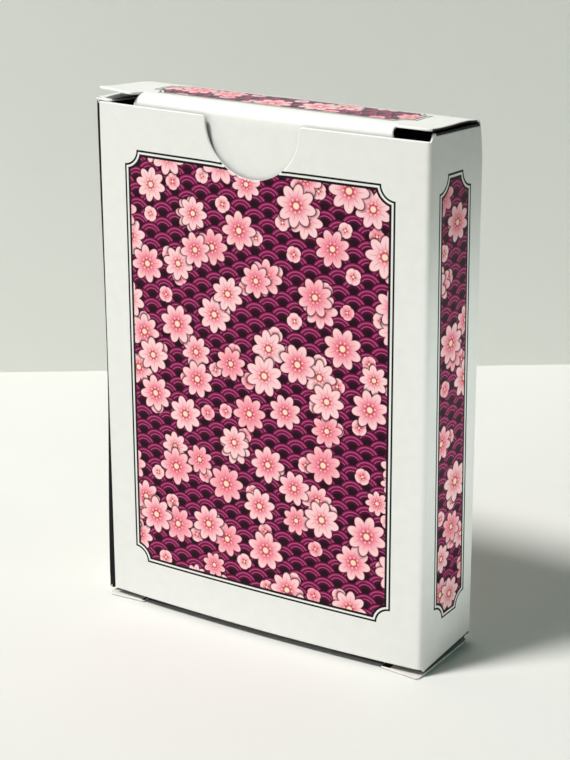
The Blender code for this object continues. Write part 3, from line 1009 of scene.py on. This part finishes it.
def add_camera():
    data = bpy.data.cameras.new("camera")
    data.sensor_width = SENSOR
    data.lens = SENSOR * FOCAL_PIXELS / PICTURE_HEIGHT
    data.clip_start = CLIP_START
    camera = bpy.data.objects.new("camera", data)
    bpy.context.scene.collection.objects.link(camera)
    level = math.cos(CAMERA_ELEVATION)
    back = Vector((math.sin(CAMERA_AZIMUTH) * level, -math.cos(CAMERA_AZIMUTH) * level,
                   math.sin(CAMERA_ELEVATION)))
    turn = (-back).to_track_quat("-Z", "Y").to_matrix().to_4x4()
    camera.matrix_world = Matrix.Translation(CAMERA_PLACE) @ turn @ Matrix.Rotation(CAMERA_ROLL, 4, "Z")
    bpy.context.scene.camera = camera


# Stage
WALL_DISTANCE = 479 * MM
FLOOR_SIZE = (1.5, 1.5)
WALL_SIZE = (1.6, 0.8)
FLOOR_COLOUR = linear(224, 223, 219)
WALL_COLOUR = linear(238, 239, 233)
BACKGROUND_COLOUR = linear(216, 216, 210)
WALL_TURN = math.radians(1.74)
CLOUD_SCALE = 9.0
CLOUD_PALER = 1.03


def stage_material(name, colour):
    """Plain matt surface, seen from its front only."""
    material, tree, shader = new_material(name)
    vector = tree.nodes.new("ShaderNodeTexCoord").outputs["Object"]
    cloud = noise(tree, vector, CLOUD_SCALE, 2.0)
    paler = tuple(min(1.0, channel * CLOUD_PALER) for channel in colour[:3]) + (1.0,)
    tree.links.new(mix(tree, cloud, colour, paler), shader.inputs["Base Color"])
    shader.inputs["Roughness"].default_value = 0.9
    shader.inputs["Specular IOR Level"].default_value = 0.1
    clear = tree.nodes.new("ShaderNodeBsdfTransparent")
    side = tree.nodes.new("ShaderNodeNewGeometry").outputs["Backfacing"]
    mix_shaders(tree, side, shader, clear, tree.nodes["Material Output"])
    return material


def add_plane(name, centre, turn, size, colour):
    wide, deep = size[0] / 2, size[1] / 2
    mesh = bpy.data.meshes.new(name)
    corners = [(-wide, -deep, 0), (wide, -deep, 0), (wide, deep, 0), (-wide, deep, 0)]
    mesh.from_pydata(corners, [], [(0, 1, 2, 3)])
    mesh.materials.append(stage_material(name, colour))
    plane = bpy.data.objects.new(name, mesh)
    bpy.context.scene.collection.objects.link(plane)
    plane.matrix_world = Matrix.Translation(centre) @ turn


def add_stage():
    add_plane("floor", Vector((0, 0, 0)), Matrix.Identity(4), FLOOR_SIZE, FLOOR_COLOUR)
    away = Vector((-math.sin(CAMERA_AZIMUTH), math.cos(CAMERA_AZIMUTH), 0))
    foot = Vector((CAMERA_PLACE.x, CAMERA_PLACE.y, 0)) + away * WALL_DISTANCE
    turn = Matrix.Rotation(CAMERA_AZIMUTH + WALL_TURN, 4, "Z") @ Matrix.Rotation(math.pi / 2, 4, "X")
    add_plane("backdrop", foot, turn, WALL_SIZE, WALL_COLOUR)


# Light: places and sizes in metres, strengths in watts
LIGHT_AIM = Vector((0, 0, 0.05))
KEY_PLACE = LIGHT_AIM + Vector((-0.28, -0.42, 0.863)) * 2.5
KEY_SIZE = 0.52
KEY_WATTS = 65.0
KEY_COLOUR = (1.0, 0.985, 0.97)
FRONT_FILL_PLACE = (-0.35, -0.85, 0.55)
FRONT_FILL_SIZE = 0.40
FRONT_FILL_WATTS = 1.2
FRONT_FILL_COLOUR = (1.0, 1.0, 1.0)
SIDE_FILL_PLACE = (0.75, -0.05, 0.09)
SIDE_FILL_AIM = (0.03, 0.0, 0.042)
SIDE_FILL_SIZE = 0.012
SIDE_FILL_WATTS = 8.5
SIDE_FILL_COLOUR = (0.93, 1.0, 0.98)
SIDE_FILL_SPREAD = math.radians(7.0)
WORLD_FILL_COLOUR = (0.34, 1.0, 0.88, 1.0)
WORLD_FILL_STRENGTH = 0.075


def add_lamp(name, place, target, size, watts, colour):
    data = bpy.data.lights.new(name, "AREA")
    data.shape = "DISK"
    data.size = size
    data.energy = watts
    data.color = colour
    place_lamp(name, data, place, target)


def place_lamp(name, data, place, target):
    lamp = bpy.data.objects.new(name, data)
    bpy.context.scene.collection.objects.link(lamp)
    lamp.location = place
    lamp.rotation_euler = (Vector(target) - Vector(place)).to_track_quat("-Z", "Y").to_euler()


def add_spot(name, place, target, size, watts, colour, spread):
    data = bpy.data.lights.new(name, "SPOT")
    data.shadow_soft_size = size
    data.energy = watts
    data.color = colour
    data.spot_size = spread
    data.spot_blend = 1.0
    place_lamp(name, data, place, target)


def add_light():
    add_lamp("key", KEY_PLACE, LIGHT_AIM, KEY_SIZE, KEY_WATTS, KEY_COLOUR)
    add_lamp("front_fill", FRONT_FILL_PLACE, LIGHT_AIM, FRONT_FILL_SIZE, FRONT_FILL_WATTS, FRONT_FILL_COLOUR)
    add_spot("side_fill", SIDE_FILL_PLACE, SIDE_FILL_AIM, SIDE_FILL_SIZE, SIDE_FILL_WATTS, SIDE_FILL_COLOUR,
             SIDE_FILL_SPREAD)
    world = bpy.data.worlds.new("studio")
    bpy.context.scene.world = world
    world.use_nodes = True
    tree = world.node_tree
    fill = tree.nodes["Background"]
    fill.inputs["Color"].default_value = WORLD_FILL_COLOUR
    fill.inputs["Strength"].default_value = WORLD_FILL_STRENGTH
    seen = tree.nodes.new("ShaderNodeBackground")
    seen.inputs["Color"].default_value = BACKGROUND_COLOUR
    seen.inputs["Strength"].default_value = 1.0
    path = tree.nodes.new("ShaderNodeLightPath")
    camera_ray, glossy_ray, clear_ray = (
        Field(tree, path.outputs[f"Is {kind} Ray"]) for kind in ("Camera", "Glossy", "Transmission"))
    share = camera_ray.most(glossy_ray).most(clear_ray)
    mix_shaders(tree, share.source, fill, seen, tree.nodes["World Output"])


def main():
    bpy.context.scene.view_settings.view_transform = "Standard"
    # The walls' inner faces all take the dark painted shade
    inner = inner_material("inside", GLUE_U)
    cut = cut_material("cut_edge")
    add_camera()
    add_walls(inner, cut)
    for end, up in (("top", 1), ("bottom", -1)):
        for side, direction in (("left", -1), ("right", 1)):
            if (end, side) == ("top", "left"):
                add_flap(end, side, up, direction, TOP_LEFT_RISE, LEFT_FLAP_DARK, LONG_NECK, LONG_NECK_FRONT,
                         FLAP_SPRING, inner, cut)
            else:
                rise = TOP_RIGHT_RISE if up > 0 else BOTTOM_RISE
                add_flap(end, side, up, direction, rise, -DARK_WRAP - 2 * INK_EDGE, FLAP_NECK,
                         FLAP_LOW.y - FRONT_Y - FLAP_FRONT_EASE, 0.0, inner, cut)
    add_cover("lid", 1, LID_BEND_RADIUS, False, cut)
    add_cover("bottom", -1, BOTTOM_BEND_RADIUS, True, cut)
    finish_cards()
    add_stage()
    add_light()


main()
